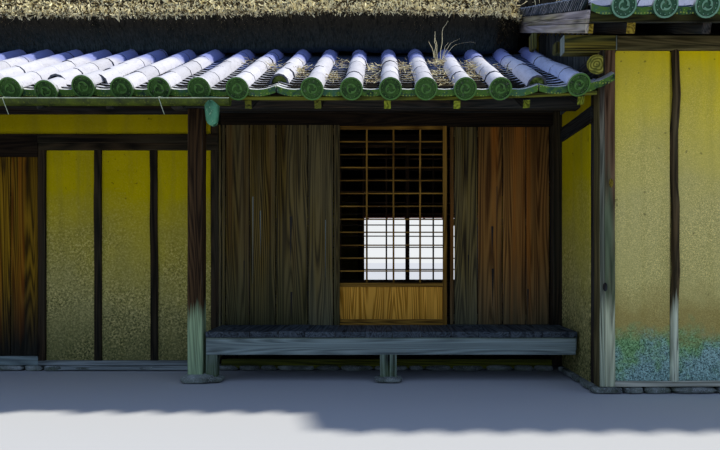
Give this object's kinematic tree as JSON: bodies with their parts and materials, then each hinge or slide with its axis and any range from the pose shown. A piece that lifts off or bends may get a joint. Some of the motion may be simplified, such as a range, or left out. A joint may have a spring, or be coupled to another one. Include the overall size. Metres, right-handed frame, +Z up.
{
  "type": "minka farmhouse",
  "caption": "Hollow thatched farmhouse with a tiled pent roof all round, a recessed porch closed by sliding board and lattice doors, and a projecting tiled wing.",
  "frame": {"origin": "middle of the house's outline in plan, on the ground", "axes": "+X to the right along the front, +Y from the front to the back, +Z up"},
  "size_m": [16.135, 13.486, 8.6068],
  "materials": {
    "plaster": "ochre earth plaster, matt, greyer and algae-stained near the ground",
    "dark_timber": "old dark brown timber, open grain",
    "weathered_timber": "weathered blue-grey timber with raised grain",
    "door_boards": "brown cedar boards with strong grain",
    "lattice_wood": "golden brown cedar",
    "roof_tile": "unglazed grey clay tiles, bleached on top, mossy at the eave ends",
    "thatch": "dry weathered reed thatch",
    "foundation_stone": "rough field stone",
    "gutter_metal": "green painted sheet metal",
    "spout_copper": "verdigris copper"
  },
  "bodies": {
    "root": {"front_left_wall": "plaster", "front_middle_wall": "plaster", "entrance_head_wall": "plaster", "return_wall": "plaster", "wing_front_wall": "plaster", "left_wall": "plaster", "right_wall": "plaster", "back_left_wall": "plaster", "back_right_wall": "plaster", "front_left_timbers": "dark_timber", "front_middle_timbers": "dark_timber", "front_top_plate": "dark_timber", "entrance_threshold": "dark_timber", "entrance_lintel": "dark_timber", "porch_lintel": "dark_timber", "porch_eave_beam": "dark_timber", "porch_right_post": "dark_timber", "return_timbers": "dark_timber", "wing_front_timbers": "dark_timber", "left_timbers": "dark_timber", "right_timbers": "dark_timber", "back_timbers": "dark_timber", "core_frame": "dark_timber", "inner_frame": "dark_timber", "floor_beam_1": "dark_timber", "floor_beam_2": "dark_timber", "floor_beam_3": "dark_timber", "floor_beam_4": "dark_timber", "front_rafters": "dark_timber", "wing_rafters": "dark_timber", "porch_post": "weathered_timber", "porch_floor": "weathered_timber", "porch_floor_frame": "weathered_timber", "wing_corner_post": "weathered_timber", "wing_log_beam": "weathered_timber", "wing_loft_wall": "weathered_timber", "porch_threshold": "door_boards", "room_floor": "door_boards", "pent_roof_front": "roof_tile", "pent_roof_left": "roof_tile", "pent_roof_back": "roof_tile", "pent_roof_right": "roof_tile", "wing_roof": "roof_tile", "ridge_cap": "roof_tile", "thatch_front": "thatch", "thatch_back": "thatch", "thatch_left": "thatch", "thatch_right": "thatch", "foundation_stones": "foundation_stone", "gutter": "gutter_metal", "gutter_spout": "spout_copper"},
    "entrance_door_left": {"entrance_door_left": "door_boards"},
    "entrance_door_right": {"entrance_door_right": "door_boards"},
    "board_door_left": {"board_door_left": "door_boards"},
    "lattice_door": {"lattice_door": "lattice_wood"},
    "board_door_right": {"board_door_right": "door_boards"},
    "inner_lattice_left": {"inner_lattice_left": "lattice_wood"},
    "inner_lattice_right": {"inner_lattice_right": "lattice_wood"}
  },
  "joints": [
    {"name": "entrance_door_left_slide", "type": "slide", "parent": "root", "child": "entrance_door_left", "axis": [1, 0, 0], "range_m": [0, 0.91]},
    {"name": "entrance_door_right_slide", "type": "slide", "parent": "root", "child": "entrance_door_right", "axis": [1, 0, 0], "range_m": [-0.91, 0]},
    {"name": "board_door_left_slide", "type": "slide", "parent": "root", "child": "board_door_left", "axis": [1, 0, 0], "range_m": [0, 1.824]},
    {"name": "lattice_door_slide", "type": "slide", "parent": "root", "child": "lattice_door", "axis": [1, 0, 0], "range_m": [-0.966, 0.9]},
    {"name": "board_door_right_slide", "type": "slide", "parent": "root", "child": "board_door_right", "axis": [1, 0, 0], "range_m": [-1.972, 0]},
    {"name": "inner_lattice_left_slide", "type": "slide", "parent": "root", "child": "inner_lattice_left", "axis": [1, 0, 0], "range_m": [-0.639, 1.134]},
    {"name": "inner_lattice_right_slide", "type": "slide", "parent": "root", "child": "inner_lattice_right", "axis": [1, 0, 0], "range_m": [-1.579, 0.194]}
  ]
}
